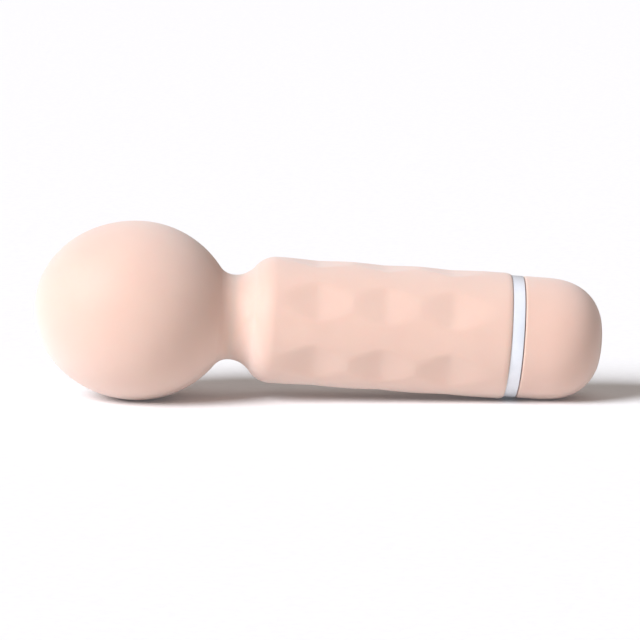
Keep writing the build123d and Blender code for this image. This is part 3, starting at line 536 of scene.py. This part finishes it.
def colour(code):
    """Linear RGBA of an sRGB hex colour."""
    srgb = np.array([int(code[i:i + 2], 16) for i in (1, 3, 5)]) / 255
    linear = np.where(srgb <= 0.04045, srgb / 12.92, ((srgb + 0.055) / 1.055) ** 2.4)
    return (*linear.tolist(), 1.0)


def add(tree, kind, sockets, settings=None, stops=()):
    """Adds a node with its settings, and gives each input a value or a link.

    A node given as an input stands for its first output. stops are the places and colours of a colour ramp.
    """
    node = tree.nodes.new(kind)
    for name, value in (settings or {}).items():
        setattr(node, name, value)
    for name, value in sockets.items():
        if isinstance(value, bpy.types.Node):
            value = value.outputs[0]
        if isinstance(value, bpy.types.NodeSocket):
            tree.links.new(value, node.inputs[name])
        else:
            node.inputs[name].default_value = value
    for element, (place, code) in zip(node.color_ramp.elements if stops else (), stops):
        element.position, element.color = place, colour(code)
    return node


def start_material(name):
    """An empty material, and the coordinates its patterns use: mm along the wand, to its left and up."""
    material = bpy.data.materials.new(name)
    material.use_nodes = True
    tree = material.node_tree
    tree.nodes.clear()
    turn = Matrix([ALONG.tolist(), LEFT.tolist(), UP.tolist()])
    place = add(tree, "ShaderNodeTexCoord", {})
    where = add(tree, "ShaderNodeMapping", {
        "Vector": place.outputs["Object"], "Scale": (1 / MM,) * 3, "Rotation": turn.to_euler(),
        "Location": -(turn @ Vector(TIP.tolist())) / MM,
    }, {"vector_type": "POINT"})
    return material, tree, where


def finish_material(material, tree, shader):
    """Links the shader to the material's surface."""
    add(tree, "ShaderNodeOutputMaterial", {"Surface": shader})
    return material


def silicone(name, light, dark, soft):
    """Liquid silicone rubber moulded in a spark-eroded tool: a soft, matt, slightly see-through skin with a
    velvet edge, faint clouds of pigment, and a grain of 0.05 mm drawn 0.3 mm wide so that it shows."""
    material, tree, where = start_material(name)
    cloud = add(tree, NOISE, {"Vector": where, "Scale": 1 / 9.0, "Detail": 3.0})
    fleck = add(tree, NOISE, {"Vector": where, "Scale": 1 / 0.3, "Detail": 2.0, "Roughness": 0.6})
    swell = add(tree, NOISE, {"Vector": where, "Scale": 1 / 1.6, "Detail": 2.0})
    hue = add(tree, RAMP, {"Fac": cloud}, stops=((0.3, dark), (0.7, light)))
    fine = add(tree, RANGE, {**MIDDLE, "Value": fleck, "To Min": 0.985, "To Max": 1.0})
    gloss = add(tree, RANGE, {**MIDDLE, "Value": cloud, "To Min": 0.5, "To Max": 0.6})
    base = add(tree, MIX, {0: 1.0, 6: hue, 7: fine}, {"data_type": "RGBA", "blend_type": "MULTIPLY"})
    under = add(tree, RELIEF, {"Height": swell, "Distance": 0.01 * MM, "Strength": 0.35})
    relief = add(tree, RELIEF, {"Height": fleck, "Distance": 0.012 * MM, "Strength": 0.5, "Normal": under})
    shader = add(tree, SURFACE, {
        "Base Color": base.outputs[2], "Roughness": gloss, "Normal": relief,
        "Subsurface Weight": soft, "Subsurface Radius": (1.0, 0.32, 0.18), "Subsurface Scale": 0.003,
        "IOR": 1.41, "Sheen Weight": 0.72, "Sheen Roughness": 0.9, "Sheen Tint": colour("#FBF5F2"),
    })
    return finish_material(material, tree, shader)


def pearl_plastic():
    """ABS moulded with pearl pigment: a cool satin white with a shimmer of flakes, 0.05 mm drawn 0.2 mm."""
    material, tree, where = start_material("pearl_abs_moulded")
    flake = add(tree, CELLS, {"Vector": where, "Scale": 1 / 0.2})
    swirl = add(tree, NOISE, {"Vector": where, "Scale": 1 / 5.0, "Detail": 3.0})
    shimmer = add(tree, RANGE, {
        "Value": flake, "From Min": 0.1, "From Max": 0.6, "To Min": 0.24, "To Max": 0.36,
    })
    shader = add(tree, SURFACE, {
        "Base Color": add(tree, RAMP, {"Fac": swirl}, stops=((0.3, "#CFD4DA"), (0.7, "#DEE1E6"))),
        "Roughness": shimmer, "IOR": 1.54, "Coat Weight": 0.35, "Coat Roughness": 0.22, "Sheen Weight": 0.1,
        "Normal": add(tree, RELIEF, {"Height": flake, "Distance": 0.004 * MM, "Strength": 0.3}),
    })
    return finish_material(material, tree, shader)


def moulded_plastic(name, light, dark, rough=0.5, grit=0.35, depth=0.012):
    """Thermoplastic moulded against an eroded steel tool: an even colour that clouds a little along its flow,
    and a fine pitted grain of about 0.1 mm, drawn three times as coarse."""
    material, tree, where = start_material(name)
    pits = add(tree, NOISE, {"Vector": where, "Scale": 1 / grit, "Detail": 3.0, "Roughness": 0.6})
    flow = add(tree, NOISE, {"Vector": where, "Scale": 1 / 6.0, "Detail": 3.0})
    gloss = add(tree, RANGE, {**MIDDLE, "Value": pits, "To Min": rough - 0.06, "To Max": rough + 0.08})
    shader = add(tree, SURFACE, {
        "Base Color": add(tree, RAMP, {"Fac": flow}, stops=((0.35, dark), (0.65, light))),
        "Roughness": gloss,
        "IOR": 1.53, "Normal": add(tree, RELIEF, {"Height": pits, "Distance": depth * MM, "Strength": 0.6}),
    })
    return finish_material(material, tree, shader)


def moulded_rubber(name, light, dark, rough=0.65):
    """Compression-moulded rubber: dull, with a bloom in patches and a fine grain."""
    material, tree, where = start_material(name)
    bloom = add(tree, NOISE, {"Vector": where, "Scale": 1 / 2.5, "Detail": 4.0, "Roughness": 0.6})
    skin = add(tree, NOISE, {"Vector": where, "Scale": 1 / 0.25, "Detail": 2.0})
    gloss = add(tree, RANGE, {**MIDDLE, "Value": bloom, "To Min": rough - 0.08, "To Max": rough + 0.1})
    shader = add(tree, SURFACE, {
        "Base Color": add(tree, RAMP, {"Fac": bloom}, stops=((0.35, dark), (0.65, light))),
        "Roughness": gloss,
        "IOR": 1.5, "Sheen Weight": 0.08,
        "Normal": add(tree, RELIEF, {"Height": skin, "Distance": 0.01 * MM, "Strength": 0.6}),
    })
    return finish_material(material, tree, shader)


def worked_metal(name, light, dark, rough, stretch, size):
    """Bare or plated metal with the marks of its working: noise drawn out along the way that it was rolled,
    drawn or turned, which streaks its gloss, over a cloudy tone."""
    material, tree, where = start_material(name)
    drawn = add(tree, VECTORS, {0: where, 1: stretch}, {"operation": "MULTIPLY"})
    streak = add(tree, NOISE, {"Vector": drawn, "Scale": 1 / size, "Detail": 3.0, "Roughness": 0.6})
    tone = add(tree, NOISE, {"Vector": where, "Scale": 1 / 3.0, "Detail": 3.0})
    gloss = add(tree, RANGE, {**MIDDLE, "Value": streak, "To Min": rough - 0.08, "To Max": rough + 0.1})
    shader = add(tree, SURFACE, {
        "Base Color": add(tree, RAMP, {"Fac": tone}, stops=((0.35, dark), (0.65, light))), "Metallic": 1.0,
        "Roughness": gloss,
        "Normal": add(tree, RELIEF, {"Height": streak, "Distance": 0.004 * MM, "Strength": 0.5}),
    })
    return finish_material(material, tree, shader)


def sintered(name, light, dark, rough, metallic, size):
    """Pressed and fired powder: a dull body peppered with open pores."""
    material, tree, where = start_material(name)
    pores = add(tree, CELLS, {"Vector": where, "Scale": 1 / size})
    depth = add(tree, RANGE, {"Value": pores, "From Min": 0.1, "From Max": 0.5, "To Min": 0.0, "To Max": 1.0})
    patch = add(tree, NOISE, {"Vector": where, "Scale": 1.0, "Detail": 2.0})
    gloss = add(tree, RANGE, {**MIDDLE, "Value": patch, "To Min": rough - 0.08, "To Max": rough + 0.08})
    shader = add(tree, SURFACE, {
        "Base Color": add(tree, RAMP, {"Fac": depth}, stops=((0.0, dark), (0.6, light))),
        "Metallic": metallic,
        "Roughness": gloss,
        "Normal": add(tree, RELIEF, {"Height": depth, "Distance": 0.02 * MM, "Strength": 0.7}),
    })
    return finish_material(material, tree, shader)


def layers(tree, where, pitch):
    """Value from 0 to 1 of a sine wave along the wand that repeats each pitch mm."""
    along = add(tree, SPLIT, {0: where})
    turn = add(tree, MATHS, {0: along, 1: math.tau / pitch}, {"operation": "MULTIPLY"})
    wave = add(tree, MATHS, {0: turn}, {"operation": "SINE"})
    return add(tree, MATHS, {0: wave, 1: 0.5, 2: 0.5}, {"operation": "MULTIPLY_ADD"})


def copper_windings():
    """Enamelled copper wire of 0.3 mm laid side by side: glossy amber turns, with painted shade darkening the
    grooves between them.
    """
    material, tree, where = start_material("enamelled_copper_wire")
    turns = layers(tree, where, 0.3)
    shader = add(tree, SURFACE, {
        # The dark stop of this ramp is painted shade in the grooves between the turns, not a colour of the wire.
        "Base Color": add(tree, RAMP, {"Fac": turns}, stops=((0.05, "#5A2A12"), (0.6, "#C8713A"))),
        "Metallic": 0.85, "Roughness": 0.3, "Coat Weight": 0.6, "Coat Roughness": 0.15,
        "Normal": add(tree, RELIEF, {"Height": turns, "Distance": 0.08 * MM, "Strength": 0.9}),
    })
    return finish_material(material, tree, shader)


def lamination_stack():
    """Stamped silicon-steel sheets of 0.5 mm, stacked: blued faces with a thin dark line at each joint."""
    material, tree, where = start_material("stamped_silicon_steel")
    sheets = layers(tree, where, 0.5)
    patch = add(tree, NOISE, {"Vector": where, "Scale": 1 / 0.8, "Detail": 2.0})
    shader = add(tree, SURFACE, {
        "Base Color": add(tree, RAMP, {"Fac": sheets}, stops=((0.0, "#1E2024"), (0.35, "#5B5F69"))),
        "Metallic": 0.9,
        "Roughness": add(tree, RANGE, {**MIDDLE, "Value": patch, "To Min": 0.38, "To Max": 0.52}),
        "Normal": add(tree, RELIEF, {"Height": sheets, "Distance": 0.03 * MM, "Strength": 0.6}),
    })
    return finish_material(material, tree, shader)


def phenolic_board():
    """Paper-phenolic laminate, pressed and punched: warm brown with short fibres and a dull resin gloss."""
    material, tree, where = start_material("phenolic_laminate")
    drawn = add(tree, VECTORS, {0: where, 1: (1.0, 0.15, 1.0)}, {"operation": "MULTIPLY"})
    fibre = add(tree, NOISE, {"Vector": drawn, "Scale": 1 / 0.3, "Detail": 4.0, "Roughness": 0.65})
    shader = add(tree, SURFACE, {
        "Base Color": add(tree, RAMP, {"Fac": fibre}, stops=((0.35, "#6A431F"), (0.65, "#A9743C"))),
        "Roughness": add(tree, RANGE, {**MIDDLE, "Value": fibre, "To Min": 0.4, "To Max": 0.55}),
        "IOR": 1.6,
        "Normal": add(tree, RELIEF, {"Height": fibre, "Distance": 0.01 * MM, "Strength": 0.5}),
    })
    return finish_material(material, tree, shader)


def lead_insulation():
    """Extruded PVC on two leads, red on the wand's left and black on its right, with faint draw lines."""
    material, tree, where = start_material("extruded_pvc_leads")
    split = add(tree, SPLIT, {0: where})
    lines = add(tree, NOISE, {"Vector": where, "Scale": 1 / 0.2, "Detail": 2.0})
    shader = add(tree, SURFACE, {
        "Base Color": add(tree, RAMP, {"Fac": split.outputs[1]}, stops=((0.0, "#161616"), (0.02, "#A81A14"))),
        "Roughness": add(tree, RANGE, {**MIDDLE, "Value": lines, "To Min": 0.35, "To Max": 0.48}),
        "IOR": 1.53,
        "Normal": add(tree, RELIEF, {"Height": lines, "Distance": 0.005 * MM, "Strength": 0.5}),
    })
    return finish_material(material, tree, shader)


def cell_wrap():
    """Printed PVC shrink sleeve on a cell: glossy, graphite with a copper-coloured positive end."""
    material, tree, where = start_material("printed_shrink_sleeve")
    first, last, _ = span("battery_wrap")
    split = add(tree, SPLIT, {0: where})
    along = add(tree, RANGE, {
        "Value": split, "From Min": first, "From Max": last, "To Min": 0.0, "To Max": 1.0,
    })
    wrinkle = add(tree, NOISE, {"Vector": where, "Scale": 1 / 2.0, "Detail": 3.0})
    shader = add(tree, SURFACE, {
        "Base Color": add(tree, RAMP, {"Fac": along}, stops=((0.26, "#C4763C"), (0.265, "#25282D"))),
        "Roughness": add(tree, RANGE, {**MIDDLE, "Value": wrinkle, "To Min": 0.18, "To Max": 0.3}),
        "IOR": 1.54, "Coat Weight": 0.4, "Coat Roughness": 0.1,
        "Normal": add(tree, RELIEF, {"Height": wrinkle, "Distance": 0.01 * MM, "Strength": 0.4}),
    })
    return finish_material(material, tree, shader)


def floor_material():
    """Seamless white card: matt, with a faint tooth."""
    material, tree, where = start_material("white_card")
    tooth = add(tree, NOISE, {"Vector": where, "Scale": 1 / 1.5, "Detail": 3.0})
    shader = add(tree, SURFACE, {
        "Base Color": add(tree, RAMP, {"Fac": tooth}, stops=((0.35, "#F0F0EF"), (0.65, "#F3F3F2"))),
        "Roughness": 0.9, "Specular IOR Level": 0.2,
        "Emission Color": colour("#E2EEFF"), "Emission Strength": FLOOR_GLOW,
    })
    return finish_material(material, tree, shader)


# ---------------------------------------------------------------- the whole wand
LENGTHWAYS = (0.06, 1.0, 1.0)
ROUND_THE_AXIS = (1.0, 0.12, 0.12)


def all_materials():
    """One material for each of the record's slots."""
    return {
        "silicone": silicone("liquid_silicone_moulded", "#CDA48D", "#CA9F88", 0.4),
        "cap_plastic": silicone("soft_touch_coated_abs", "#CCA089", "#C99B83", 0.3),
        "pearl_plastic": pearl_plastic(),
        "white_plastic": moulded_plastic("white_abs_moulded", "#ECEAE4", "#E2DFD8"),
        "black_plastic": moulded_plastic("glass_filled_nylon_moulded", "#232323", "#171717", 0.55, 0.3, 0.02),
        "black_rubber": moulded_rubber("nitrile_rubber_moulded", "#2A2A2B", "#1B1B1C"),
        "clear_rubber": moulded_rubber("natural_silicone_moulded", "#E4E1D8", "#D5D1C6", 0.5),
        "zinc_steel": worked_metal("zinc_plated_steel_drawn", "#C9CBCF", "#AEB1B7", 0.3, LENGTHWAYS, 0.15),
        "spring_steel": worked_metal("spring_steel_wire_drawn", "#B9BABD", "#8F9195", 0.26, LENGTHWAYS, 0.12),
        "nickel_brass": worked_metal(
            "nickel_plated_brass_stamped", "#D9D3C4", "#BDB6A5", 0.24, ROUND_THE_AXIS, 0.2),
        "bronze": sintered("sintered_bronze", "#B98950", "#6E4A24", 0.45, 1.0, 0.25),
        "copper": copper_windings(),
        "lamination": lamination_stack(),
        "ferrite": sintered("sintered_ferrite", "#3B3B3E", "#1B1B1D", 0.6, 0.0, 0.3),
        "tungsten": sintered("sintered_tungsten_alloy", "#8B8A88", "#5E5D5B", 0.4, 1.0, 0.35),
        "phenolic": phenolic_board(),
        "lead_insulation": lead_insulation(),
        "cell_can": worked_metal("nickel_plated_can_drawn", "#CFCFD1", "#B5B6B9", 0.2, LENGTHWAYS, 0.15),
        "cell_wrap": cell_wrap(),
    }


def dress(piece, material):
    """Gives a piece its one material."""
    piece.data.materials.clear()
    piece.data.materials.append(material)


def build_wand():
    """Makes the pieces that show and gives every part its material."""
    materials = all_materials()
    made = [(head_piece(), "silicone"), (grip_piece(), "silicone"), (band_piece(), "pearl_plastic"),
            (cap_piece(), "cap_plastic"), (cap_thread(), "cap_plastic"), (button_piece(), "cap_plastic"),
            (return_ring_piece(), "clear_rubber")]
    made += [(half, "spring_steel") for half in spring_halves()]
    made += [(half, "lead_insulation") for half in lead_halves()]
    for piece, slot in made:
        dress(piece, materials[slot])
    for part in frame["record"]["subparts"]:
        dress(frame["nodes"][part["node"]], materials[part["material_slot"]])


# ---------------------------------------------------------------- studio
VIEW_AZIMUTH = -2.6
VIEW_ELEVATION = 8.0
VIEW_ANGLE = 8.0
VIEW_ROLL = 0.35        # the view's right-hand side hangs a little
VIEW_WIDTH = 0.1215     # what the camera takes in at the wand's distance
AIM_BELOW = 0.00185     # the wand stands a little above the middle of the view
AIM_RIGHT = 0.0002      # and a little to its left
FLOOR_HALF = 6.0


def direction(azimuth, elevation):
    """Unit vector from the wand towards a place that many degrees round it and above the floor."""
    a, e = math.radians(azimuth), math.radians(elevation)
    return Vector((math.sin(a) * math.cos(e), -math.cos(a) * math.cos(e), math.sin(e)))


def place_camera():
    """A long lens, low in front of the wand."""
    data = bpy.data.cameras.new("camera")
    camera = bpy.data.objects.new("camera", data)
    bpy.context.scene.collection.objects.link(camera)
    low, high = cad_box
    aim = (low + high) / 2 + Vector((AIM_RIGHT, 0, -AIM_BELOW))
    back = direction(VIEW_AZIMUTH, VIEW_ELEVATION)
    data.angle = math.radians(VIEW_ANGLE)
    camera.location = aim + back * (VIEW_WIDTH / 2 / math.tan(math.radians(VIEW_ANGLE / 2)))
    roll = Matrix.Rotation(math.radians(VIEW_ROLL), 3, "Z")
    camera.rotation_euler = ((-back).to_track_quat("-Z", "Y").to_matrix() @ roll).to_euler()
    data.clip_start, data.clip_end = 0.01, 100
    bpy.context.scene.camera = camera


def soft_light(name, azimuth, elevation, spread, share, tone):
    """A far, wide studio light, spread degrees across. share is how bright it makes white card facing it."""
    data = bpy.data.lights.new(name, "SUN")
    data.angle, data.energy, data.color = math.radians(spread), math.pi * share, colour(tone)[:3]
    light = bpy.data.objects.new(name, data)
    bpy.context.scene.collection.objects.link(light)
    light.rotation_euler = (-direction(azimuth, elevation)).to_track_quat("-Z", "Y").to_euler()


def studio():
    """White card floor, a wide soft light on the left, a weaker one overhead and an even, warm surround."""
    mesh = bpy.data.meshes.new("floor")
    corners = [(FLOOR_HALF * x, FLOOR_HALF * y, 0) for x, y in ((-1, -1), (1, -1), (1, 1), (-1, 1))]
    mesh.from_pydata(corners, [], [(0, 1, 2, 3)])
    floor = bpy.data.objects.new("floor", mesh)
    bpy.context.scene.collection.objects.link(floor)
    mesh.materials.append(floor_material())
    world = bpy.data.worlds.new("surround")
    world.use_nodes = True
    world.node_tree.nodes["Background"].inputs["Color"].default_value = colour("#FFEADC")
    world.node_tree.nodes["Background"].inputs["Strength"].default_value = SURROUND
    bpy.context.scene.world = world
    soft_light("key_left", -54, 34, 34, 1.57, "#F4F7FF")
    soft_light("overhead", 180, 80, 45, 0.1, "#FFFFFF")
    bpy.context.scene.view_settings.view_transform = "Standard"


build_wand()
place_camera()
studio()
